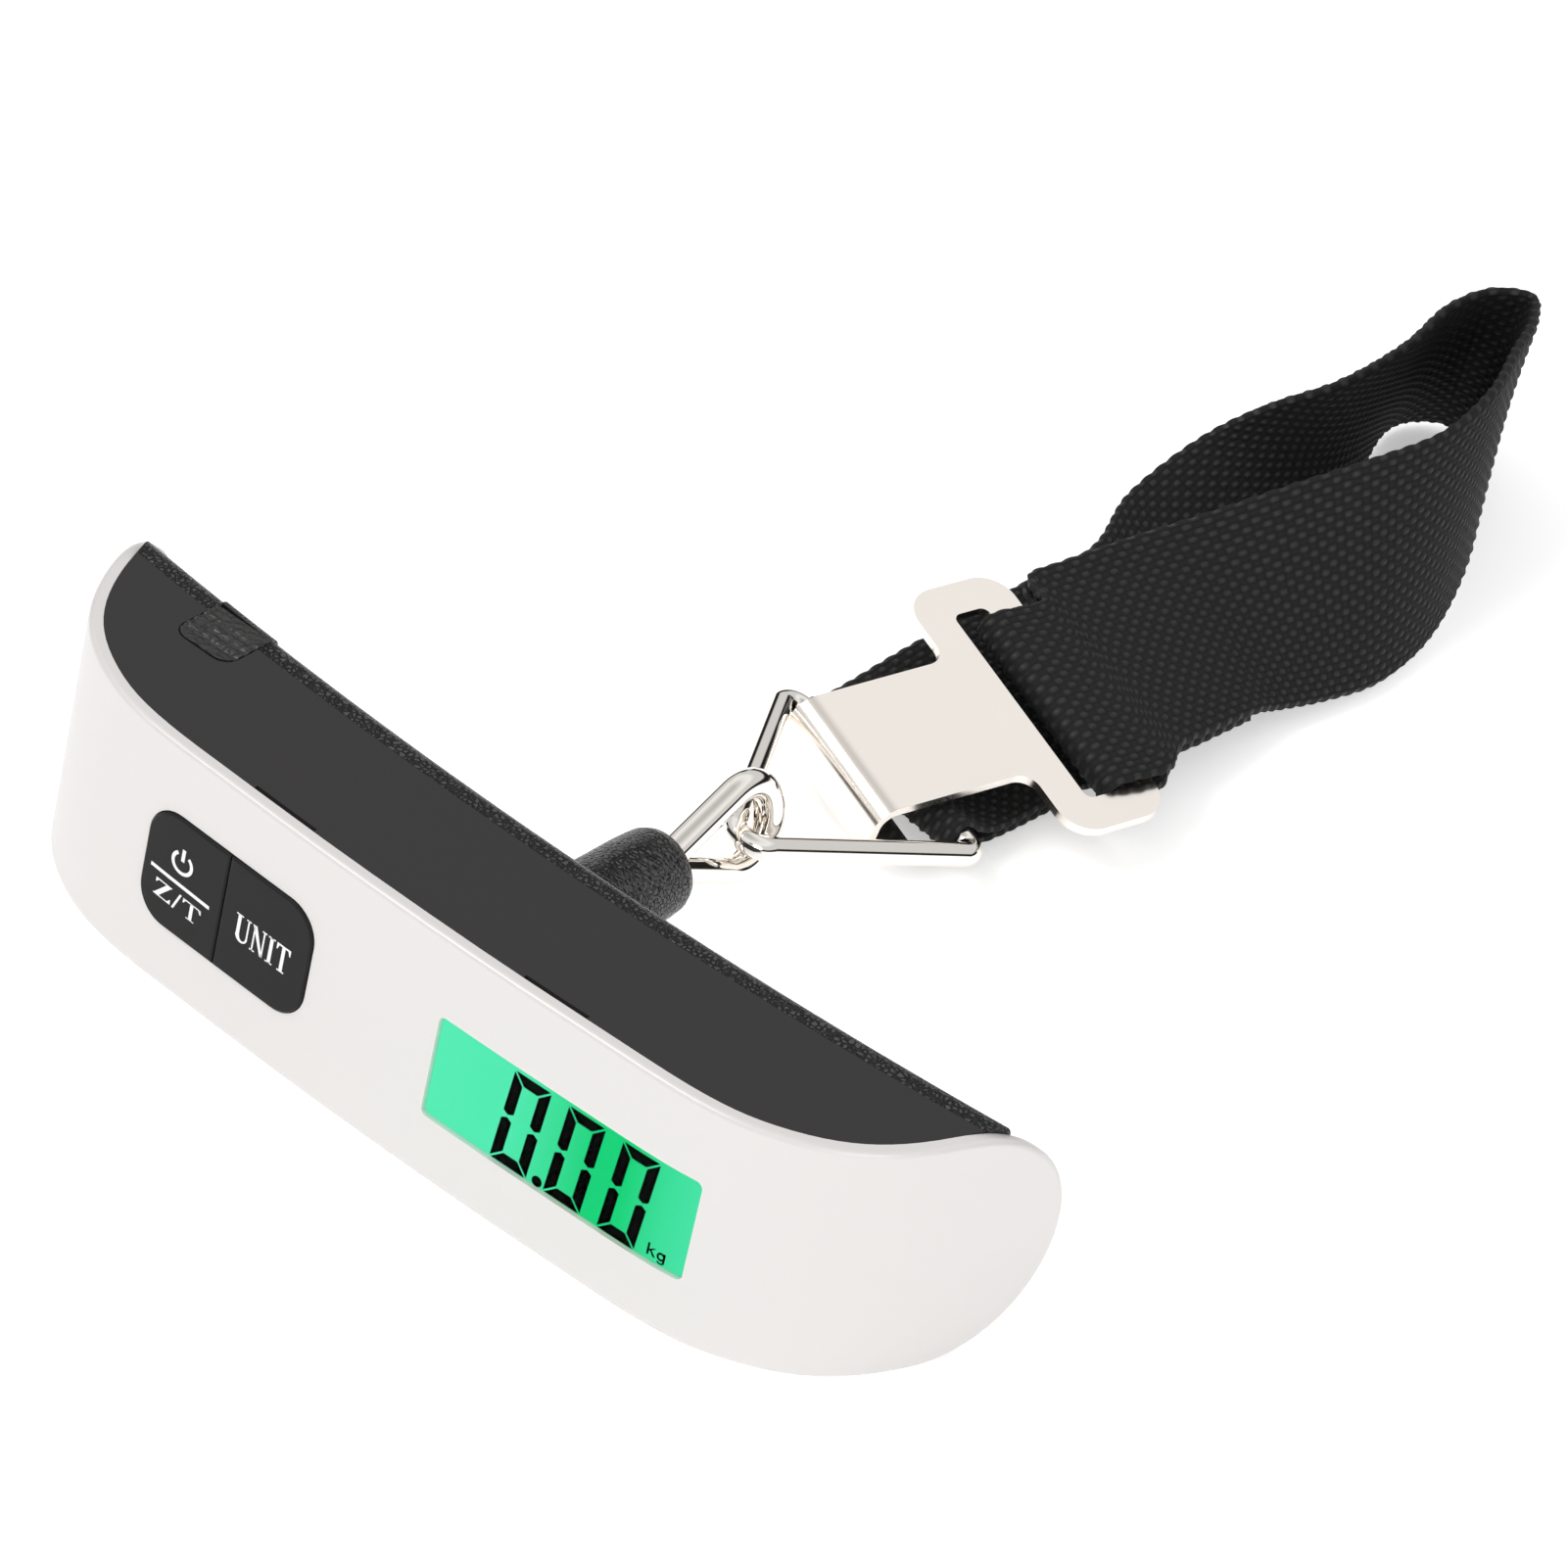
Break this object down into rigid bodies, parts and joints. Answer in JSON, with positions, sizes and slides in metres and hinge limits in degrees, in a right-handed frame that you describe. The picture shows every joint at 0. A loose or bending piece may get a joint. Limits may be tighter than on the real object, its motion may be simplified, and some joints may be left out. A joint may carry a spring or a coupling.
{
  "type": "digital luggage scale",
  "caption": "Handheld digital luggage scale: T-shaped handle with display, keys and stem, a swivel eye, a triangular ring and a webbing loop with a hook plate.",
  "frame": {"origin": "middle of the handle's flat side, on the stem's axis", "axes": "+X along the handle towards the display, +Y out along the stem towards the webbing loop, +Z from one flat side to the other"},
  "size_m": [0.149, 0.2386, 0.0351],
  "materials": {
    "silver_shell": "satin silver",
    "black_body": "smooth black plastic",
    "black_grain": "leather-grained black plastic",
    "key_black": "matte black keys",
    "window_clear": "clear window",
    "lcd_green": "green lit display",
    "lcd_ink": "dark display figures",
    "white_plastic": "white diffusing plastic",
    "board_green": "circuit board",
    "steel_zinc": "zinc plated steel",
    "nickel": "nickel plate",
    "nickel_satin": "satin nickel plate",
    "alloy": "machined",
    "brass_contact": "spring brass",
    "conductive_rubber": "conductive rubber",
    "wire_red": "insulated wire",
    "webbing": "black woven webbing"
  },
  "bodies": {
    "handle": {"front_panel": "silver_shell", "chassis": "black_body", "rear_housing": "black_grain", "display_window": "window_clear", "lcd_glass": "lcd_green", "backlight_guide": "white_plastic", "display_frame": "white_plastic", "lcd_connector": "conductive_rubber", "lcd_segments": "lcd_ink", "circuit_board": "board_green", "board_screws": "steel_zinc", "chip_cover": "black_body", "backlight_led": "white_plastic", "key_domes": "steel_zinc", "load_cell": "alloy", "load_cell_screws": "steel_zinc", "strain_gauges": "brass_contact", "gauge_leads": "wire_red", "housing_screws": "steel_zinc", "battery": "steel_zinc", "battery_tray": "black_body", "battery_contact_pos": "brass_contact", "battery_contact_neg": "brass_contact"},
    "key_power_body": {"key_power": "key_black"},
    "key_unit_body": {"key_unit": "key_black"},
    "door": {"battery_door": "black_grain"},
    "eye_body": {"eye": "nickel", "eye_anchor": "steel_zinc", "anchor_washer": "steel_zinc", "anchor_nut": "steel_zinc"},
    "ring": {"triangle_ring": "nickel"},
    "loop": {"strap": "webbing"},
    "hook": {"hook_plate": "nickel_satin", "strap_end": "webbing"}
  },
  "joints": [
    {"name": "key_power_press", "type": "slide", "parent": "handle", "child": "key_power_body", "axis": [0, 1, 0], "range_m": [0, 0.0004], "stiffness_N_per_m": 600},
    {"name": "key_unit_press", "type": "slide", "parent": "handle", "child": "key_unit_body", "axis": [0, 1, 0], "range_m": [0, 0.0004], "stiffness_N_per_m": 600},
    {"name": "battery_door_hinge", "type": "hinge", "parent": "handle", "child": "door", "pos_m": [-0.0496, 0.01415, 0.00575], "axis": [-1, 0, 0], "range_deg": [0, 80]},
    {"name": "eye_swivel", "type": "hinge", "parent": "handle", "child": "eye_body", "pos_m": [0, 0.038, 0.0175], "axis": [0, 1, 0], "continuous": true},
    {"name": "ring_swing", "type": "hinge", "parent": "eye_body", "child": "ring", "pos_m": [0.00014, 0.0531, 0.01671], "axis": [0.9848, 0, 0.1736], "range_deg": [-60, 60]},
    {"name": "strap_swing", "type": "hinge", "parent": "ring", "child": "loop", "pos_m": [-0.00245, 0.08735, 0.0077], "axis": [0.981, 0.0622, -0.1838], "range_deg": [-40, 60]},
    {"name": "hook_slide", "type": "slide", "parent": "loop", "child": "hook", "axis": [0.4169, -0.9002, -0.126], "range_m": [0, 0.0055]}
  ]
}
